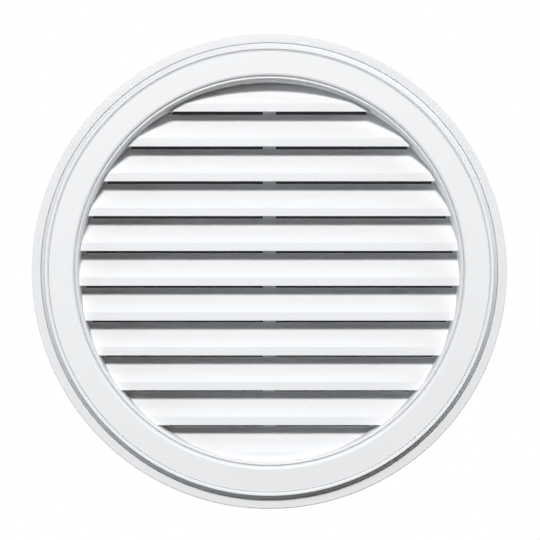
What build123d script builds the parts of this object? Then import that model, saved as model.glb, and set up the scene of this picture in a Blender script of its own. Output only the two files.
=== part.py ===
from build123d import *
import os
from math import ceil, sqrt

# A round louvred gable vent, in millimetres.
# X runs across the vent, Y into the wall and Z up. The wall's surface is the plane Y = 0, and the
# origin is the centre of the vent on it. The face looks along -Y.

# Driving dimensions
outer_d = 558.8            # over the finish ring: the 22 inch size
blade_pitch = 41.0         # from one louvre to the next
blade_count = 11
lip_offset = 3.5           # the louvres' middle lip line stands this far above the centre
face_y = -27.0             # front face of the frame
rear_y = 17.0              # rear plane that carries the insect screen
wall = 2.5                 # moulded wall thickness
face_t = 4.4               # thickness of the face, which leaves less behind the crease

# Frame, from the opening outwards, as radii and depths
slot_end_r = 218.6         # the slots end square, on this radius, where the rear ledge closes them off
ledge_y = rear_y - wall    # front of the rear ledge
ledge_top_z = 209.0        # the ledge's flat top and bottom edges
throat_rear_r = 222.6      # the opening's wall tapers towards the rear
throat_front_r = 224.2
throat_front_y = face_y + 4.2
roll_r = 227.1             # crest of the rolled edge round the opening
roll_y = face_y + 1.3
crease_r = 228.3           # crease between the rolled edge and the face
crease_y = face_y + 2.8
edge_r = 230.4             # the face falls to the crease in two facets that meet here
edge_y = face_y + 0.7
face_in_r = 232.4
groove_r = 258.8           # inner edge of the V groove round the face
groove_width = 1.4
groove_depth = 1.0
bead_width = 3.0           # raised bead outside the groove
bead_height = 0.8
bead_edge = 0.8            # eased edge beside the groove
foot_r = 268.4             # the outer wall slants from the bead to its foot and is straight from there
foot_y = -16.0
flange_r = 276.9           # nailing flange
flange_t = 2.5
rib_count = 6              # radial ribs between the opening's wall and the outer wall
rib_t = 2.0
rib_rear_y = -4.0
nail_count = 6
nail_r = 2.1
nail_pcd = 546.6

# Louvre blades: an upright nose, then a 45 degree slope with a water stop along its rear edge
nose_y = face_y + 13.0
nose_height = 10.0
nose_t = 2.2
blade_depth = 28.0
kink_round = 1.0
stop_t = 1.5
stop_height = 2.0
mullion_width = 15.4       # centre strap behind the blades
mullion_t = 4.0
embed = 0.8                # blades, ribs, hooks and strap run this far into what carries them

# Finish ring, held by clips that catch on hooks on the flange
ring_r = outer_d / 2
ring_in_r = 268.9          # inner edge, close to the outer wall
ring_t = 1.8
ring_front_y = foot_y
ring_edge = 0.8            # eased edge of the rim
clip_count = 6
clip_r = 269.4             # the clips' side towards the outer wall
clip_width = 18.0
clip_t = 1.4
clip_rear_y = -flange_t - 0.4
hook_width = 12.0
hook_t = 1.4
hook_catch_y = -4.4        # the clip's window bears on the hook here
hook_nose_r = clip_r + 0.5
hook_clearance = 0.4

# Insect screen: one woven sheet, shown as a wall with thread ridges and gaps between them
screen_r = 223.5
sheet_t = 0.4
thread_pitch = 48.0
thread_width = 1.2
thread_height = 0.3
thread_reach = slot_end_r - 13.5
gap_side = 9.0
gap_every = 2              # an open gap in every second cell both ways


def turned(*points):
    """The solid of a closed outline in radius and depth, turned round the vent's axis."""
    return revolve(make_face(Polyline(*points, close=True)), Axis.Y)


def swept_across(width, *points):
    """A plate of the given width, centred on the plane of its outline in radius and depth."""
    return extrude(make_face(Polyline(*points, close=True)), amount=width / 2, both=True)


def around(count, solid, first=0.0):
    """Copies of a solid, evenly spaced round the vent's axis."""
    return [Rot(0, first + 360 * k / count, 0) * solid for k in range(count)]


def disc(radius, front_y, back_y):
    """A plain disc on the vent's axis between two depths."""
    return Pos(0, (front_y + back_y) / 2, 0) * Rot(90, 0, 0) * Cylinder(radius, back_y - front_y)


def throat_r(y):
    """Radius of the opening's wall at a depth."""
    share = (y - throat_front_y) / (ledge_y - throat_front_y)
    return throat_front_r + share * (throat_rear_r - throat_front_r)


def skirt_r(y):
    """Radius of the outer wall at a depth between the bead and its foot."""
    bead_out_r = groove_r + groove_width + bead_width
    share = (y - face_y + bead_height) / (foot_y - face_y + bead_height)
    return bead_out_r + share * (foot_r - bead_out_r)


def lip_heights():
    """Heights of the louvres' lips, from the top one down."""
    middle = (blade_count - 2) / 2
    return [lip_offset + blade_pitch * (middle - k) for k in range(blade_count)]


def frame_ring():
    """Opening's wall, rolled edge, face, groove, bead, outer wall and flange, hollow behind the face."""
    bead_y = face_y - bead_height
    bead_in_r = groove_r + groove_width
    back_y = face_y + face_t
    return turned(
        (throat_r(rear_y), rear_y),
        (throat_front_r, throat_front_y),
        (roll_r, roll_y),
        (crease_r, crease_y),
        (edge_r, edge_y),
        (face_in_r, face_y),
        (groove_r, face_y),
        (groove_r + groove_width / 2, face_y + groove_depth),
        (bead_in_r + bead_edge, bead_y),
        (bead_in_r + bead_width, bead_y),
        (foot_r, foot_y),
        (foot_r, -flange_t),
        (flange_r, -flange_t),
        (flange_r, 0),
        (foot_r - wall, 0),
        (foot_r - wall, foot_y),
        (skirt_r(back_y) - wall, back_y),
        (throat_r(back_y) + wall, back_y),
        (throat_r(rear_y) + wall, rear_y),
    )


def ledge():
    """The rear ledge, whose inner edge stands upright at each slot so that the slots end square."""
    side = []
    for lip in lip_heights()[:-1]:
        gap_z = lip - blade_pitch + nose_height + blade_depth - stop_t + stop_height
        end_x = sqrt(slot_end_r**2 - gap_z**2)
        side.append((end_x, lip))
        side.append((end_x, gap_z - stop_height))
    end = sqrt(slot_end_r**2 - ledge_top_z**2)
    side = [(end, ledge_top_z), *side, (end, -ledge_top_z)]
    outline = side + [(-x, z) for x, z in reversed(side)]
    opening = extrude(Plane.XZ * make_face(Polyline(*outline, close=True)), amount=2 * rear_y, both=True)
    return disc(throat_rear_r + embed, ledge_y, rear_y) - opening


def blade(lip_z, nose_drop=0.0):
    """One louvre across the whole opening, its nose carried down by nose_drop below the lip line."""
    kink_z = lip_z + nose_height
    under = wall * sqrt(2)
    slope = blade_depth - stop_t
    stop_z = kink_z + slope + stop_height
    section = Plane.YZ * make_face(
        Polyline(
            (nose_y, lip_z - nose_drop),
            (nose_y, kink_z),
            (nose_y + slope, kink_z + slope),
            (nose_y + slope, stop_z),
            (nose_y + blade_depth, stop_z),
            (nose_y + blade_depth, kink_z + blade_depth - under),
            (nose_y + nose_t, kink_z + nose_t - under),
            (nose_y + nose_t, lip_z - nose_drop),
            close=True,
        )
    )
    front = section.vertices().filter_by_position(Axis.Y, nose_y - 0.1, nose_y + 0.1)
    section = fillet(front.sort_by(Axis.Z)[-1], kink_round)
    return extrude(section, amount=throat_front_r + wall, both=True)


def louvres():
    """The blades, cut to the opening. The lowest one's nose runs down to the frame and closes it."""
    lips = lip_heights()
    blades = [blade(lip) for lip in lips[:-1]]
    blades.append(blade(lips[-1], nose_drop=throat_front_r + wall + lips[-1]))
    opening = turned(
        (0, throat_front_y),
        (throat_front_r + embed, throat_front_y),
        (throat_r(rear_y) + embed, rear_y),
        (0, rear_y),
    )
    return [opening & b for b in blades]


def mullion():
    """The upright strap that ties the blades' rear edges together."""
    return Pos(0, rear_y - mullion_t / 2, 0) * Box(mullion_width, mullion_t, 2 * (ledge_top_z + embed))


def rib():
    """A radial rib in the hollow, seated in the opening's wall, the face and the outer wall."""
    front_y = face_y + face_t - embed
    seat = wall - embed
    return swept_across(
        rib_t,
        (throat_r(rib_rear_y) + seat, rib_rear_y),
        (throat_r(front_y) + seat, front_y),
        (skirt_r(front_y) - seat, front_y),
        (foot_r - seat, foot_y),
        (foot_r - seat, rib_rear_y),
    )


def hook():
    """A post on the flange whose nose reaches in through a clip's window."""
    post_r = clip_r + clip_t + hook_clearance
    return swept_across(
        hook_width,
        (post_r, -flange_t + embed),
        (post_r, hook_catch_y),
        (hook_nose_r, hook_catch_y),
        (hook_nose_r, hook_catch_y - hook_t / 2),
        (post_r, hook_catch_y - hook_t),
        (post_r + hook_t, hook_catch_y - hook_t),
        (post_r + hook_t, -flange_t + embed),
    )


def louvre_body():
    """Frame, louvres, ledge, strap, ribs, flange and hooks, moulded as one."""
    ribs = around(rib_count, rib())
    hooks = around(clip_count, hook())
    body = frame_ring().fuse(*louvres(), ledge(), mullion(), *ribs, *hooks)
    nail_hole = Pos(nail_pcd / 2, 0, 0) * disc(nail_r, -2 * flange_t, flange_t)
    return body.cut(*around(nail_count, nail_hole, first=180 / nail_count))


def clip():
    """A flat tongue behind the ring's front, with a window whose rear edge bears on a hook."""
    mid_r = clip_r + clip_t / 2
    front_y = ring_front_y + ring_t / 2
    tongue = Pos(mid_r, (front_y + clip_rear_y) / 2, 0) * Box(clip_t, clip_rear_y - front_y, clip_width)
    window_y = hook_catch_y - hook_t - hook_clearance
    window_width = hook_width + 2 * hook_clearance
    window = Pos(mid_r, (window_y + hook_catch_y) / 2, 0) * Box(
        2 * clip_t, hook_catch_y - window_y, window_width
    )
    return tongue - window


def finish_ring():
    """The clip-on trim ring: a flat front and a deep rim that hide the flange, with clips inside."""
    ring = turned(
        (ring_in_r, ring_front_y),
        (ring_r - ring_edge, ring_front_y),
        (ring_r, ring_front_y + ring_edge),
        (ring_r, 0),
        (ring_r - ring_t, 0),
        (ring_r - ring_t, ring_front_y + ring_t),
        (ring_in_r, ring_front_y + ring_t),
    )
    return ring.fuse(*around(clip_count, clip()))


def insect_screen():
    """The woven sheet on the rear ledge: upright threads stand out in front, level ones behind."""
    sheet = disc(screen_r, rear_y, rear_y + sheet_t)
    side_rows = int(thread_reach / thread_pitch)
    threads = []
    for k in range(-side_rows, side_rows):
        across = (k + 0.5) * thread_pitch
        length = 2 * sqrt(thread_reach**2 - across**2)
        upright = Box(thread_width, thread_height, length)
        level = Box(length, thread_height, thread_width)
        threads.append(Pos(across, rear_y - thread_height / 2, 0) * upright)
        threads.append(Pos(0, rear_y + sheet_t + thread_height / 2, across) * level)
    gaps = []
    spacing = gap_every * thread_pitch
    steps = ceil(thread_reach / spacing)
    places = [spacing * (k + 0.5) for k in range(-steps, steps)]
    for x in places:
        for z in places:
            if sqrt(x**2 + z**2) + gap_side < thread_reach:
                gaps.append(Pos(x, rear_y + sheet_t / 2, z) * Box(gap_side, 2 * sheet_t, gap_side))
    return sheet.fuse(*threads).cut(*gaps)


os.makedirs("parts", exist_ok=True)
nodes = {
    "louvre_body": louvre_body(),
    "finish_ring": finish_ring(),
    "insect_screen": insect_screen(),
}
for name, shape in nodes.items():
    export_step(shape, f"parts/{name}.step")
    print(name, round(shape.volume / 1000, 1), "cm3")
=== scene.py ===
"""Finishes, insect mesh and studio for a round louvred gable vent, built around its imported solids."""
from math import cos, pi, radians, sin

import bpy
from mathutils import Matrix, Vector


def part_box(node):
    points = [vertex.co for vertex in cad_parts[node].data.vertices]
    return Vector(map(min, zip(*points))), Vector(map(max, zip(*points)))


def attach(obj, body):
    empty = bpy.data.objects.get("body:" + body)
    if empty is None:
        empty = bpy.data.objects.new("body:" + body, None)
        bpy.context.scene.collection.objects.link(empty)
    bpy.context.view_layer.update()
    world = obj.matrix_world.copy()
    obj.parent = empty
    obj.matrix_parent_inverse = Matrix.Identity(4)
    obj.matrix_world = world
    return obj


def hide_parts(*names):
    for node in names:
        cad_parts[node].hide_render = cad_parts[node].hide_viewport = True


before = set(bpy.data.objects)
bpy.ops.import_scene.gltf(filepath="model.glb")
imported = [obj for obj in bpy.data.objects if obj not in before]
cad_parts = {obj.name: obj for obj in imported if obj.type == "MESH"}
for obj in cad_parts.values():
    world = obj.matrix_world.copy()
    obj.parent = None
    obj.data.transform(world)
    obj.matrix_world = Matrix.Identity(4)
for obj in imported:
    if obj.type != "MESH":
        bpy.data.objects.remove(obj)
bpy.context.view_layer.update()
screen_low, screen_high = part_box("insect_screen")

bl_info = {
    "name": "Round gable vent",
    "version": (1, 0, 0),
    "blender": (4, 5, 0),
    "location": "3D View > Sidebar > Gable vent",
    "description": "Finishes, insect mesh and studio for a round louvred gable vent",
    "category": "Object",
}

SENSOR_MM = 36.0
WHITE = (1.0, 1.0, 1.0, 1.0)
GREY = (0.5, 0.5, 0.5)
BLACK = (0.0, 0.0, 0.0)
BEVEL_SAMPLES = 6
FRONT_SHARPNESS = 4.0       # how fast the relief ends where a surface turns away from the front
THREAD_SIDES = 6
HEM_POINTS = 128
SHEET_POINTS = 96

# The trim ring's own values, where they differ from the body's
RING_FINISH = {
    "colour": (0.79, 0.79, 0.795),
    "crease_radius": 0.2689,
    "crease_width": 0.0105,
    "crease_depth": 0.002,
    # The ring has no groove: these four values lay a band of painted shadow along its inner edge, where the
    # body's wall shades it.
    "groove_radius": 0.2689,
    "groove_width": 0.013,
    "groove_fill": 0.0,
    "band_painted_shade": 0.08,
}


class Wire:
    """A node's output socket. Arithmetic on it adds Math nodes to the same tree."""

    def __init__(self, tree, socket):
        self.tree = tree
        self.socket = socket

    def maths(self, operation, *terms):
        return self.tree.add("ShaderNodeMath", {"operation": operation}, dict(enumerate(terms)))

    def __add__(self, other):
        return self.maths("ADD", self, other)

    def __radd__(self, other):
        return self.maths("ADD", other, self)

    def __sub__(self, other):
        return self.maths("SUBTRACT", self, other)

    def __rsub__(self, other):
        return self.maths("SUBTRACT", other, self)

    def __mul__(self, other):
        return self.maths("MULTIPLY", self, other)

    def __rmul__(self, other):
        return self.maths("MULTIPLY", other, self)

    def __truediv__(self, other):
        return self.maths("DIVIDE", self, other)

    def __rtruediv__(self, other):
        return self.maths("DIVIDE", other, self)

    def root(self):
        return self.maths("SQRT", self)

    def size(self):
        return self.maths("ABSOLUTE", self)

    def whole(self):
        return self.maths("FLOOR", self)

    def share(self):
        """The value kept between 0 and 1."""
        return self.tree.add("ShaderNodeClamp", {}, {"Value": self, "Min": 0.0, "Max": 1.0})


class Tree:
    """A node tree, with one method that adds a node to it."""

    def __init__(self, nodes):
        self.nodes = nodes

    def add(self, kind, settings=None, sockets=None, output=0):
        """Adds a node, sets its settings, then its sockets, and returns one of its outputs."""
        node = self.nodes.nodes.new(kind)
        for name, value in (settings or {}).items():
            setattr(node, name, value)
        for place, value in (sockets or {}).items():
            for part in value if isinstance(value, list) else [value]:
                if isinstance(part, Wire):
                    self.nodes.links.new(part.socket, node.inputs[place])
                else:
                    node.inputs[place].default_value = part
        return Wire(self, node.outputs[output]) if len(node.outputs) else None


def new_material(name):
    """An empty node material and its tree."""
    material = bpy.data.materials.new(name)
    material.use_nodes = True
    material.node_tree.nodes.clear()
    return material, Tree(material.node_tree)


def mixed_colour(tree, factor, first, second):
    """A colour that runs from the first to the second with the factor."""
    first, second = (end if isinstance(end, Wire) else (*end, 1.0) for end in (first, second))
    return tree.add("ShaderNodeMix", {"data_type": "RGBA"}, {0: factor, 6: first, 7: second}, output=2)


def darker(colour, share):
    """The colour with a share of its light taken away."""
    return [channel * (1 - share) for channel in colour]


def noise(tree, place, size, detail, roughness=0.5):
    """Soft noise with patches of about the given size."""
    return tree.add(
        "ShaderNodeTexNoise",
        {"noise_dimensions": "3D"},
        {"Vector": place, "Scale": 1 / size, "Detail": detail, "Roughness": roughness},
    )


def along(tree, vector, axis):
    """A vector's part along one axis."""
    return tree.add("ShaderNodeSeparateXYZ", {}, {"Vector": vector}, output=axis)


def ramp(out, start, width):
    """0 up to the start, then rising to 1 over the width."""
    return ((out - start) / width).share()


def front_relief(tree, place, finish):
    """Height of the fine relief on surfaces that face the front, and how far a point lies in the groove's
    band, where the colour is darkened as painted shade.
    """
    across, up = (along(tree, place, axis) for axis in ("X", "Z"))
    out = (across * across + up * up).root()
    roll = ramp(out, finish.roll_radius, finish.roll_width) * finish.roll_depth
    crest = ramp(out, finish.crest_radius, finish.crest_width) * finish.crest_depth
    crease = ramp(out, finish.crease_radius, finish.crease_width).root() * finish.crease_depth
    groove = (1 - ((out - finish.groove_radius) / (finish.groove_width / 2)).size()).share()
    facing = tree.add("ShaderNodeNewGeometry", output="True Normal")
    front = (along(tree, facing, "Y") * -FRONT_SHARPNESS).share()
    return (roll - crest + crease + groove * finish.groove_fill) * front, groove.root() * front


def moulded_plastic(name, finish):
    """Matt white moulded plastic: faint clouds, mould grain, eased edges, the front's fine relief, and
    painted shade that darkens the colour in the groove's band.
    """
    material, tree = new_material(name)
    place = tree.add("ShaderNodeTexCoord", output="Object")
    cloud = noise(tree, place, finish.cloud_size, detail=3.0, roughness=0.55)
    grain = noise(tree, place, finish.grain_size, detail=2.0, roughness=0.6)
    relief, groove = front_relief(tree, place, finish)
    normal = tree.add("ShaderNodeBevel", {"samples": BEVEL_SAMPLES}, {"Radius": finish.edge_round})
    for strength, depth, height in ((1.0, 1.0, relief), (finish.grain_strength, finish.grain_depth, grain)):
        normal = tree.add(
            "ShaderNodeBump",
            {},
            {"Strength": strength, "Distance": depth, "Height": height, "Normal": normal},
        )
    clouded = mixed_colour(tree, cloud, darker(finish.colour, finish.cloud_depth), finish.colour)
    plastic = tree.add(
        "ShaderNodeBsdfPrincipled",
        {},
        {
            # Painted shade: the colour darkens in the groove's band, for the shade in the face's groove and,
            # on the trim ring, for the body's shadow along its inner edge.
            "Base Color": mixed_colour(tree, groove, clouded, darker(finish.colour, finish.band_painted_shade)),
            "Roughness": finish.roughness + (cloud - 0.5) * finish.roughness_range,
            "IOR": finish.refraction,
            "Specular IOR Level": finish.gloss,
            "Normal": normal,
        },
    )
    tree.add("ShaderNodeOutputMaterial", {}, {"Surface": plastic})
    return material


def coated_thread(name, finish):
    """Black coated glass-fibre thread: a colour that dust lifts in patches, and a fine fibre relief."""
    material, tree = new_material(name)
    place = tree.add("ShaderNodeTexCoord", output="Object")
    dust = noise(tree, place, finish.dust_size, detail=4.0, roughness=0.6)
    fibre = noise(tree, place, finish.thread, detail=1.0)
    bump = tree.add(
        "ShaderNodeBump",
        {},
        {"Strength": finish.fibre_strength, "Distance": finish.fibre_depth, "Height": fibre},
    )
    thread = tree.add(
        "ShaderNodeBsdfPrincipled",
        {},
        {
            "Base Color": mixed_colour(tree, dust, finish.colour, finish.dust_colour),
            "Roughness": finish.roughness + finish.roughness_range * dust,
            "Normal": bump,
        },
    )
    tree.add("ShaderNodeOutputMaterial", {}, {"Surface": thread})
    return material


def weave_tree(material):
    """Two crossing layers of straight threads cut to a disc, inside a bonded hem."""
    group = bpy.data.node_groups.new("Insect mesh weave", "GeometryNodeTree")
    for name in ("Radius", "Pitch", "Thread", "Depth", "Hem", "Layer gap", "Hem thickness"):
        group.interface.new_socket(name, in_out="INPUT", socket_type="NodeSocketFloat")
    group.interface.new_socket("Geometry", in_out="OUTPUT", socket_type="NodeSocketGeometry")
    tree = Tree(group)

    def size(name):
        return tree.add("NodeGroupInput", output=name)

    def vector(x=0.0, y=0.0, z=0.0):
        return tree.add("ShaderNodeCombineXYZ", {}, {"X": x, "Y": y, "Z": z})

    radius, pitch, thread = size("Radius"), size("Pitch"), size("Thread")
    count = (2 * radius / pitch).whole()
    first = (1 - count) * pitch / 2
    strand = tree.add(
        "GeometryNodeMeshCylinder",
        {"fill_type": "NGON"},
        {"Vertices": THREAD_SIDES, "Radius": thread / 2, "Depth": 1.0},
        output="Mesh",
    )
    layers = []
    for axis, turn, side in (("X", 0.0, -0.5), ("Z", pi / 2, 0.5)):
        layer_depth = size("Depth") + side * size("Layer gap")
        start = vector(**{axis.lower(): first, "y": layer_depth})
        step = vector(**{axis.lower(): pitch})
        line = tree.add(
            "GeometryNodeMeshLine",
            {"mode": "OFFSET"},
            {"Count": count, "Start Location": start, "Offset": step},
        )
        across = along(tree, tree.add("GeometryNodeInputPosition"), axis)
        length = 2 * (radius * radius - across * across).root()
        layers.append(
            tree.add(
                "GeometryNodeInstanceOnPoints",
                {},
                {
                    "Points": line,
                    "Instance": strand,
                    "Rotation": (0.0, turn, 0.0),
                    "Scale": vector(1.0, 1.0, length),
                },
            )
        )
    hem = size("Hem")
    hem_path = tree.add(
        "GeometryNodeCurvePrimitiveCircle",
        {"mode": "RADIUS"},
        {"Resolution": HEM_POINTS, "Radius": radius - hem / 2},
    )
    hem_section = tree.add(
        "GeometryNodeCurvePrimitiveQuadrilateral",
        {"mode": "RECTANGLE"},
        {"Width": hem, "Height": size("Hem thickness")},
    )
    hem_band = tree.add(
        "GeometryNodeCurveToMesh", {}, {"Curve": hem_path, "Profile Curve": hem_section, "Fill Caps": False}
    )
    hem_band = tree.add(
        "GeometryNodeTransform",
        {},
        {
            "Geometry": hem_band,
            "Translation": vector(y=size("Depth")),
            "Rotation": (pi / 2, 0.0, 0.0),
        },
    )
    joined = tree.add("GeometryNodeJoinGeometry", {}, {"Geometry": [*layers, hem_band]})
    plain = tree.add("GeometryNodeRealizeInstances", {}, {"Geometry": joined})
    done = tree.add("GeometryNodeSetMaterial", {}, {"Geometry": plain, "Material": material})
    tree.add("NodeGroupOutput", {}, {"Geometry": done})
    return group


def piece_from_nodes(name, group, sizes):
    """A plain mesh object from a node tree and its named sizes."""
    maker = bpy.data.objects.new(name + "_maker", bpy.data.meshes.new(name + "_seed"))
    bpy.context.scene.collection.objects.link(maker)
    modifier = maker.modifiers.new("Weave", "NODES")
    modifier.node_group = group
    for item in group.interface.items_tree:
        if item.in_out == "INPUT" and item.name in sizes:
            modifier[item.identifier] = sizes[item.name]
    bpy.context.view_layer.update()
    made = maker.evaluated_get(bpy.context.evaluated_depsgraph_get())
    mesh = bpy.data.meshes.new_from_object(made)
    maker.modifiers.clear()
    bpy.data.objects.remove(maker)
    piece = bpy.data.objects.new(name, mesh)
    mesh.name = name
    bpy.context.scene.collection.objects.link(piece)
    return piece


def dress(node, material):
    """Gives a solid's own mesh a material."""
    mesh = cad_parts[node].data
    mesh.materials.clear()
    mesh.materials.append(material)


def round_sheet(name, radius, place):
    """A flat round sheet. The place function sets each point of its circle in the studio."""
    mesh = bpy.data.meshes.new(name)
    turns = [2 * pi * k / SHEET_POINTS for k in range(SHEET_POINTS)]
    rim = [place(radius * cos(turn), radius * sin(turn)) for turn in turns]
    mesh.from_pydata(rim, [], [tuple(range(SHEET_POINTS))])
    sheet = bpy.data.objects.new(name, mesh)
    bpy.context.scene.collection.objects.link(sheet)
    return sheet


def seen_rays(tree):
    """1 for rays that show the background itself: from the camera, or through a gloss or clear surface."""
    path = {
        name: tree.add("ShaderNodeLightPath", output=name)
        for name in ("Is Camera Ray", "Is Glossy Ray", "Is Transmission Ray")
    }
    return (path["Is Camera Ray"] + path["Is Glossy Ray"] + path["Is Transmission Ray"]).share()


def clear_from_behind(tree, surface):
    """The surface from its front, and nothing from its back."""
    clear = tree.add("ShaderNodeBsdfTransparent", {}, {"Color": WHITE})
    behind = tree.add("ShaderNodeNewGeometry", output="Backfacing")
    return tree.add("ShaderNodeMixShader", {}, {0: behind, 1: surface, 2: clear})


class PlasticFinish(bpy.types.PropertyGroup):
    """Finish of a white moulded part."""

    colour: bpy.props.FloatVectorProperty(
        name="Colour", description="Colour of the plastic", subtype="COLOR", size=3,
        default=(0.84, 0.84, 0.845), min=0.0, max=1.0,
    )
    cloud_size: bpy.props.FloatProperty(
        name="Cloud size", description="Width of the faint patches in the colour",
        unit="LENGTH", default=0.09,
    )
    cloud_depth: bpy.props.FloatProperty(
        name="Cloud depth", description="How much darker the patches are", subtype="FACTOR", default=0.018,
    )
    grain_size: bpy.props.FloatProperty(
        name="Grain size", description="Width of the mould's grain", unit="LENGTH", default=0.0011,
    )
    grain_depth: bpy.props.FloatProperty(
        name="Grain depth", description="Height of the mould's grain", unit="LENGTH", default=0.00006,
    )
    grain_strength: bpy.props.FloatProperty(
        name="Grain strength", description="Share of the grain that shows", subtype="FACTOR", default=0.35,
    )
    edge_round: bpy.props.FloatProperty(
        name="Edge round", description="Rounding that moulded edges show", unit="LENGTH", default=0.00025,
    )
    roll_radius: bpy.props.FloatProperty(
        name="Roll radius", description="Where the opening's rolled edge begins",
        unit="LENGTH", default=0.2235,
    )
    roll_width: bpy.props.FloatProperty(
        name="Roll width", description="Width of the rolled edge", unit="LENGTH", default=0.0028,
    )
    roll_depth: bpy.props.FloatProperty(
        name="Roll depth", description="How much deeper the rolled edge looks than its solid",
        unit="LENGTH", default=0.001,
    )
    crest_radius: bpy.props.FloatProperty(
        name="Crest radius", description="Where the rolled edge turns to the front", unit="LENGTH",
        default=0.2263,
    )
    crest_width: bpy.props.FloatProperty(
        name="Crest width", description="Width of the rolled edge's crest", unit="LENGTH", default=0.0008,
    )
    crest_depth: bpy.props.FloatProperty(
        name="Crest depth", description="How much flatter the crest looks than its solid",
        unit="LENGTH", default=0.0008,
    )
    crease_radius: bpy.props.FloatProperty(
        name="Crease radius", description="Where the crease beside the opening's rolled edge begins",
        unit="LENGTH", default=0.2283,
    )
    crease_width: bpy.props.FloatProperty(
        name="Crease width", description="Width of the crease", unit="LENGTH", default=0.0022,
    )
    crease_depth: bpy.props.FloatProperty(
        name="Crease depth", description="How much deeper the crease looks than its solid",
        unit="LENGTH", default=0.0015,
    )
    groove_radius: bpy.props.FloatProperty(
        name="Groove radius", description="Middle of the groove in the face", unit="LENGTH", default=0.2588,
    )
    groove_width: bpy.props.FloatProperty(
        name="Groove width", description="Width of the groove", unit="LENGTH", default=0.0013,
    )
    groove_fill: bpy.props.FloatProperty(
        name="Groove fill", description="How much shallower the groove's sides look than their solid",
        unit="LENGTH", default=0.0003,
    )
    # Painted shade: share of the colour taken away in the groove's band. It stands in for the shade in the
    # face's groove, and on the trim ring for the body's shadow along its inner edge.
    band_painted_shade: bpy.props.FloatProperty(
        name="Groove shade", description="How much darker the groove is", subtype="FACTOR", default=0.3,
    )
    refraction: bpy.props.FloatProperty(
        name="Refraction", description="Refractive index of the plastic", subtype="UNSIGNED", default=1.49,
    )
    gloss: bpy.props.FloatProperty(
        name="Gloss", description="Level of the surface's reflection", subtype="FACTOR", default=0.2,
    )
    roughness: bpy.props.FloatProperty(
        name="Roughness", description="Mean roughness of the surface", subtype="FACTOR", default=0.48,
    )
    roughness_range: bpy.props.FloatProperty(
        name="Roughness range", description="How far the roughness varies", subtype="FACTOR", default=0.14,
    )


class MeshFinish(bpy.types.PropertyGroup):
    """Sizes and finish of the insect mesh."""

    pitch: bpy.props.FloatProperty(
        name="Pitch", description="From one thread to the next", unit="LENGTH", default=0.0015,
    )
    thread: bpy.props.FloatProperty(
        name="Thread", description="Thickness of a thread", unit="LENGTH", default=0.00032,
    )
    hem: bpy.props.FloatProperty(
        name="Hem", description="Width of the bonded edge", unit="LENGTH", default=0.0035,
    )
    hem_thickness: bpy.props.FloatProperty(
        name="Hem thickness", description="Thickness of the bonded edge", unit="LENGTH", default=0.000512,
    )
    layer_gap: bpy.props.FloatProperty(
        name="Layer gap", description="From the middle of one layer of threads to the other's",
        unit="LENGTH", default=0.000224,
    )
    fibre_depth: bpy.props.FloatProperty(
        name="Fibre depth", description="Height of the fibres' relief", unit="LENGTH", default=0.00004,
    )
    fibre_strength: bpy.props.FloatProperty(
        name="Fibre strength", description="Share of the fibres' relief that shows",
        subtype="FACTOR", default=0.3,
    )
    roughness: bpy.props.FloatProperty(
        name="Roughness", description="Roughness of the clean coating", subtype="FACTOR", default=0.45,
    )
    roughness_range: bpy.props.FloatProperty(
        name="Roughness range", description="How much rougher dust makes it", subtype="FACTOR", default=0.2,
    )
    dust_size: bpy.props.FloatProperty(
        name="Dust size", description="Width of the paler patches", unit="LENGTH", default=0.02,
    )
    colour: bpy.props.FloatVectorProperty(
        name="Colour", description="Colour of the coating", subtype="COLOR", size=3,
        default=(0.016, 0.017, 0.019), min=0.0, max=1.0,
    )
    dust_colour: bpy.props.FloatVectorProperty(
        name="Dust colour", description="Colour of the coating under dust", subtype="COLOR", size=3,
        default=(0.0304, 0.0323, 0.0361), min=0.0, max=1.0,
    )


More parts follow.
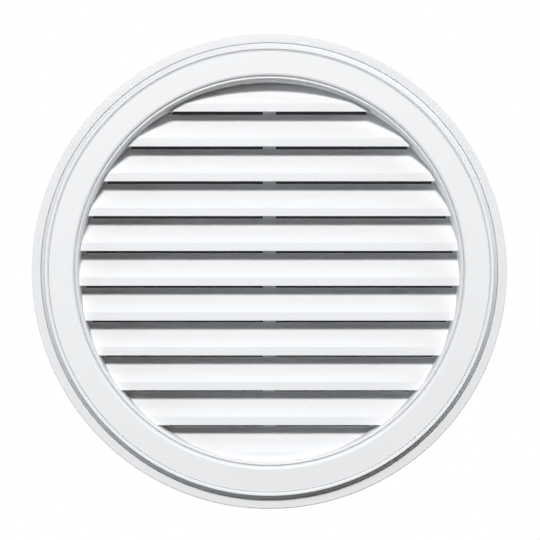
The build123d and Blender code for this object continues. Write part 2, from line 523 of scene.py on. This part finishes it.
class Studio(bpy.types.PropertyGroup):
    """Camera, lamps and background."""

    camera_distance: bpy.props.FloatProperty(
        name="Camera distance", description="From the camera to the wall's surface",
        unit="LENGTH", default=3.4,
    )
    picture_width: bpy.props.FloatProperty(
        name="Picture width", description="What the picture spans at the wall's surface",
        unit="LENGTH", default=0.638,
    )
    picture_shift: bpy.props.FloatVectorProperty(
        name="Picture shift", description="How far the camera stands right of and above the vent's centre",
        unit="LENGTH", size=2, default=(0.0008, 0.0015),
    )
    key_power: bpy.props.FloatProperty(
        name="Key power", description="Power of the main lamp", subtype="POWER", unit="POWER", default=402.0,
    )
    key_height: bpy.props.FloatProperty(
        name="Key height", description="Main lamp's angle above the vent's axis",
        subtype="ANGLE", unit="ROTATION", default=radians(28),
    )
    key_side: bpy.props.FloatProperty(
        name="Key side", description="Main lamp's angle to the left of the vent's axis",
        subtype="ANGLE", unit="ROTATION", default=radians(1.5),
    )
    key_distance: bpy.props.FloatProperty(
        name="Key distance", description="From the main lamp to the vent", unit="LENGTH", default=6.5,
    )
    key_size: bpy.props.FloatProperty(
        name="Key size", description="Width of the main lamp", unit="LENGTH", default=1.2,
    )
    side_size: bpy.props.FloatProperty(
        name="Side size", description="Width of each soft side lamp", unit="LENGTH", default=1.2,
    )
    left_place: bpy.props.FloatVectorProperty(
        name="Left place", description="Where the soft lamp on the left hangs",
        subtype="XYZ", unit="LENGTH", size=3, default=(-2.4, -0.75, -0.1),
    )
    left_power: bpy.props.FloatProperty(
        name="Left power", description="Power of the soft lamp on the left",
        subtype="POWER", unit="POWER", default=18.0,
    )
    right_place: bpy.props.FloatVectorProperty(
        name="Right place", description="Where the soft lamp on the right hangs",
        subtype="XYZ", unit="LENGTH", size=3, default=(2.05, -0.45, 1.35),
    )
    right_power: bpy.props.FloatProperty(
        name="Right power", description="Power of the soft lamp on the right",
        subtype="POWER", unit="POWER", default=22.0,
    )
    rear_place: bpy.props.FloatVectorProperty(
        name="Rear place", description="Where the soft lamp behind the vent hangs",
        subtype="XYZ", unit="LENGTH", size=3, default=(0.6, 2.6, 1.9),
    )
    rear_size: bpy.props.FloatProperty(
        name="Rear size", description="Width of the lamp behind the vent", unit="LENGTH", default=1.6,
    )
    rear_power: bpy.props.FloatProperty(
        name="Rear power", description="Power of the soft lamp behind the vent",
        subtype="POWER", unit="POWER", default=90.0,
    )
    fill_colour: bpy.props.FloatVectorProperty(
        name="Fill colour", description="Colour of the side lamps and of the light from the studio's walls",
        subtype="COLOR", size=3, default=(0.84, 0.93, 1.0), min=0.0, max=1.0,
    )
    fill_level: bpy.props.FloatProperty(
        name="Fill level", description="Level of the light from every wall", subtype="FACTOR", default=0.07,
    )
    fill_edge: bpy.props.FloatProperty(
        name="Fill edge", description="How softly the light ends below the horizon",
        subtype="FACTOR", default=0.4,
    )
    floor_drop: bpy.props.FloatProperty(
        name="Floor drop", description="From the vent's centre down to the floor",
        unit="LENGTH", default=0.75,
    )
    floor_reach: bpy.props.FloatProperty(
        name="Floor reach", description="Radius of the floor", unit="LENGTH", default=2.6,
    )
    floor_glow: bpy.props.FloatProperty(
        name="Floor glow", description="Share of the floor's white that no shadow takes away",
        subtype="FACTOR", default=0.72,
    )
    hollow_gap: bpy.props.FloatProperty(
        name="Hollow gap", description="From the screen back to the dark sheet",
        unit="LENGTH", default=0.0015,
    )
    # Painted shade: colour of the glowing dark sheet that stands in for the shade behind the louvres.
    painted_hollow_shade: bpy.props.FloatVectorProperty(
        name="Hollow colour", description="The dark that shows between the louvres", subtype="COLOR", size=3,
        default=(0.013, 0.013, 0.015), min=0.0, max=1.0,
    )


class VENT_OT_finish_body(bpy.types.Operator):
    """Gives the louvre body its white moulded finish"""

    bl_idname = "vent.finish_body"
    bl_label = "Finish the louvre body"

    def execute(self, context):
        dress("louvre_body", moulded_plastic("white_body_plastic", context.scene.vent_body))
        return {"FINISHED"}


class VENT_OT_finish_ring(bpy.types.Operator):
    """Gives the finish ring its white moulded finish"""

    bl_idname = "vent.finish_ring"
    bl_label = "Finish the trim ring"

    def execute(self, context):
        dress("finish_ring", moulded_plastic("white_ring_plastic", context.scene.vent_ring))
        return {"FINISHED"}


class VENT_OT_weave_screen(bpy.types.Operator):
    """Weaves the insect mesh in the place of its plain solid"""

    bl_idname = "vent.weave_screen"
    bl_label = "Weave the insect screen"

    def execute(self, context):
        mesh = context.scene.vent_mesh
        sizes = {
            "Radius": (screen_high.x - screen_low.x) / 2,
            "Pitch": mesh.pitch,
            "Thread": mesh.thread,
            "Depth": (screen_low.y + screen_high.y) / 2,
            "Hem": mesh.hem,
            "Layer gap": mesh.layer_gap,
            "Hem thickness": mesh.hem_thickness,
        }
        screen = piece_from_nodes("woven_screen", weave_tree(coated_thread("black_thread", mesh)), sizes)
        if not screen.data.polygons:
            raise RuntimeError("the insect screen came out empty")
        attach(screen, "root")
        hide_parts("insect_screen")
        return {"FINISHED"}


class VENT_OT_set_stage(bpy.types.Operator):
    """Sets up the floor, the painted shade behind the louvres, the lamps, the background and the camera"""

    bl_idname = "vent.set_stage"
    bl_label = "Set the stage"

    def execute(self, context):
        studio = context.scene.vent_studio
        context.scene.view_settings.view_transform = "Standard"
        self.lay_floor(studio)
        self.hang_painted_shade(studio)
        self.paint_background(context, studio)
        key_aim = Vector((-sin(studio.key_side), -cos(studio.key_side), 0)) * cos(studio.key_height)
        key_aim.z = sin(studio.key_height)
        white, cool = WHITE[:3], studio.fill_colour
        lamps = (
            ("key_lamp", key_aim * studio.key_distance, studio.key_size, studio.key_power, white),
            ("left_lamp", studio.left_place, studio.side_size, studio.left_power, cool),
            ("right_lamp", studio.right_place, studio.side_size, studio.right_power, cool),
            ("rear_lamp", studio.rear_place, studio.rear_size, studio.rear_power, white),
        )
        for lamp in lamps:
            self.hang_lamp(context, *lamp)
        self.place_camera(context, studio)
        return {"FINISHED"}

    def lay_floor(self, studio):
        """A floor that is white to the eye and keeps the vent's shadow, but throws no light back."""
        floor = round_sheet(
            "studio_floor", studio.floor_reach, lambda across, deep: (across, deep, -studio.floor_drop)
        )
        material, tree = new_material("studio_floor_white")
        seen = seen_rays(tree)
        matt = tree.add("ShaderNodeBsdfDiffuse", {}, {"Color": mixed_colour(tree, seen, BLACK, GREY)})
        glow = tree.add("ShaderNodeEmission", {}, {"Color": WHITE, "Strength": studio.floor_glow * seen})
        white = tree.add("ShaderNodeAddShader", {}, {0: matt, 1: glow})
        tree.add("ShaderNodeOutputMaterial", {}, {"Surface": clear_from_behind(tree, white)})
        floor.data.materials.append(material)

    def hang_painted_shade(self, studio):
        """A sheet of painted shade close behind the screen, seen only through the louvres from the front. It
        stands in for the shade behind the vent.
        """
        radius = (screen_high.x - screen_low.x) / 2
        depth = screen_high.y + studio.hollow_gap
        dark = round_sheet("painted_shade_sheet", radius, lambda across, up: (across, depth, up))
        material, tree = new_material("behind_louvres_painted_shade")
        shade = tree.add("ShaderNodeEmission", {}, {"Color": (*studio.painted_hollow_shade, 1.0), "Strength": 1.0})
        tree.add("ShaderNodeOutputMaterial", {}, {"Surface": clear_from_behind(tree, shade)})
        dark.data.materials.append(material)
        dark.visible_diffuse = False
        dark.visible_glossy = False
        dark.visible_transmission = False

    def paint_background(self, context, studio):
        """White to the eye. Little light comes from it, and none from below the horizon."""
        world = bpy.data.worlds.new("studio_white")
        world.use_nodes = True
        world.node_tree.nodes.clear()
        tree = Tree(world.node_tree)
        toward = tree.add("ShaderNodeTexCoord", output="Generated")
        above = (along(tree, toward, "Z") / studio.fill_edge + 0.5).share()
        level = studio.fill_level * above
        seen = seen_rays(tree)
        background = tree.add(
            "ShaderNodeBackground",
            {},
            {
                "Color": mixed_colour(tree, seen, studio.fill_colour, WHITE[:3]),
                "Strength": seen + (1 - seen) * level,
            },
        )
        tree.add("ShaderNodeOutputWorld", {}, {"Surface": background})
        context.scene.world = world

    def hang_lamp(self, context, name, place, size, power, colour):
        lamp = bpy.data.lights.new(name, "AREA")
        lamp.shape = "DISK"
        lamp.size = size
        lamp.energy = power
        lamp.color = colour
        holder = bpy.data.objects.new(name, lamp)
        holder.location = place
        holder.rotation_euler = (-Vector(place)).to_track_quat("-Z", "Y").to_euler()
        holder.visible_camera = False
        context.scene.collection.objects.link(holder)

    def place_camera(self, context, studio):
        camera = bpy.data.cameras.new("front_camera")
        camera.sensor_width = SENSOR_MM
        camera.lens = SENSOR_MM * studio.camera_distance / studio.picture_width
        holder = bpy.data.objects.new("front_camera", camera)
        right, up = studio.picture_shift
        holder.location = (right, -studio.camera_distance, up)
        holder.rotation_euler = (pi / 2, 0.0, 0.0)
        context.scene.collection.objects.link(holder)
        context.scene.camera = holder


class VENT_PT_panel(bpy.types.Panel):
    """Lists the vent's operators and the values that they use"""

    bl_idname = "VENT_PT_panel"
    bl_label = "Gable vent"
    bl_space_type = "VIEW_3D"
    bl_region_type = "UI"
    bl_category = "Gable vent"

    def draw(self, context):
        for operator, group in STEPS:
            column = self.layout.column(align=True)
            column.operator(operator.bl_idname)
            values = getattr(context.scene, group)
            for name in values.__annotations__:
                column.prop(values, name)


STEPS = (
    (VENT_OT_finish_body, "vent_body"),
    (VENT_OT_finish_ring, "vent_ring"),
    (VENT_OT_weave_screen, "vent_mesh"),
    (VENT_OT_set_stage, "vent_studio"),
)
GROUPS = {
    "vent_body": PlasticFinish,
    "vent_ring": PlasticFinish,
    "vent_mesh": MeshFinish,
    "vent_studio": Studio,
}
CLASSES = (PlasticFinish, MeshFinish, Studio, *(step[0] for step in STEPS), VENT_PT_panel)


def register():
    for item in CLASSES:
        bpy.utils.register_class(item)
    for name, group in GROUPS.items():
        setattr(bpy.types.Scene, name, bpy.props.PointerProperty(type=group))


def unregister():
    for name in GROUPS:
        delattr(bpy.types.Scene, name)
    for item in reversed(CLASSES):
        bpy.utils.unregister_class(item)


def main():
    register()
    for name, value in RING_FINISH.items():
        setattr(bpy.context.scene.vent_ring, name, value)
    bpy.ops.vent.finish_body()
    bpy.ops.vent.finish_ring()
    bpy.ops.vent.weave_screen()
    bpy.ops.vent.set_stage()


if __name__ == "__main__":
    main()
